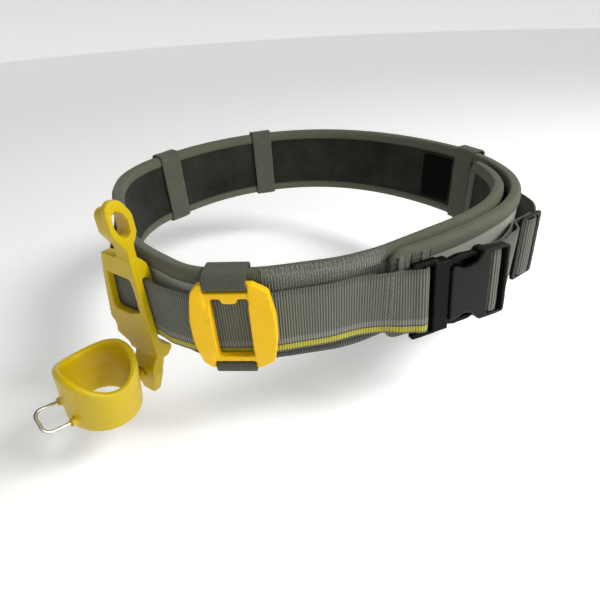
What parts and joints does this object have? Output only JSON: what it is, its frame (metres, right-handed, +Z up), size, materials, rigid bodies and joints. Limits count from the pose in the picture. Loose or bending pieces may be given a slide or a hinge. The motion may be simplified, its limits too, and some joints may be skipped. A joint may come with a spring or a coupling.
{
  "type": "hammer holder belt",
  "caption": "Padded work belt wound round the waist, with a webbing strap, side-release buckle, keepers, accessory frame, and a hooked hammer holder with a swinging ring.",
  "frame": {"origin": "middle of the waist opening at half the belt's height", "axes": "+Z up along the waist opening, -Y towards the wearer's front, +X towards the buckle's side"},
  "size_m": [0.3923, 0.405, 0.1664],
  "materials": {
    "padded_fabric": "matt olive-grey padded fabric with bound edges",
    "hook_tape": "black hook tape",
    "grey_webbing": "ribbed grey webbing",
    "keeper_webbing": "dark olive webbing",
    "golden_plastic": "moulded golden yellow plastic",
    "lemon_plastic": "moulded lemon yellow plastic",
    "black_plastic": "black satin moulded plastic",
    "steel_wire": "drawn steel wire"
  },
  "bodies": {
    "belt": {"padded_belt": "padded_fabric", "closure_patch": "hook_tape", "waist_strap": "grey_webbing", "strap_tail": "grey_webbing", "keeper_left_back": "keeper_webbing", "keeper_centre_back": "keeper_webbing", "keeper_right_back": "keeper_webbing", "keeper_front": "keeper_webbing", "accessory_frame": "golden_plastic", "holder_plate": "lemon_plastic", "buckle_male": "black_plastic", "buckle_female": "black_plastic", "tri_glide": "black_plastic"},
    "hammer_ring": {"hammer_ring": "lemon_plastic", "wire_loop": "steel_wire"}
  },
  "joints": [
    {"name": "ring_swing", "type": "hinge", "parent": "belt", "child": "hammer_ring", "pos_m": [-0.13441, -0.14655, -0.0635], "axis": [0.592, 0.8059, 0], "range_deg": [-50, 35]}
  ]
}
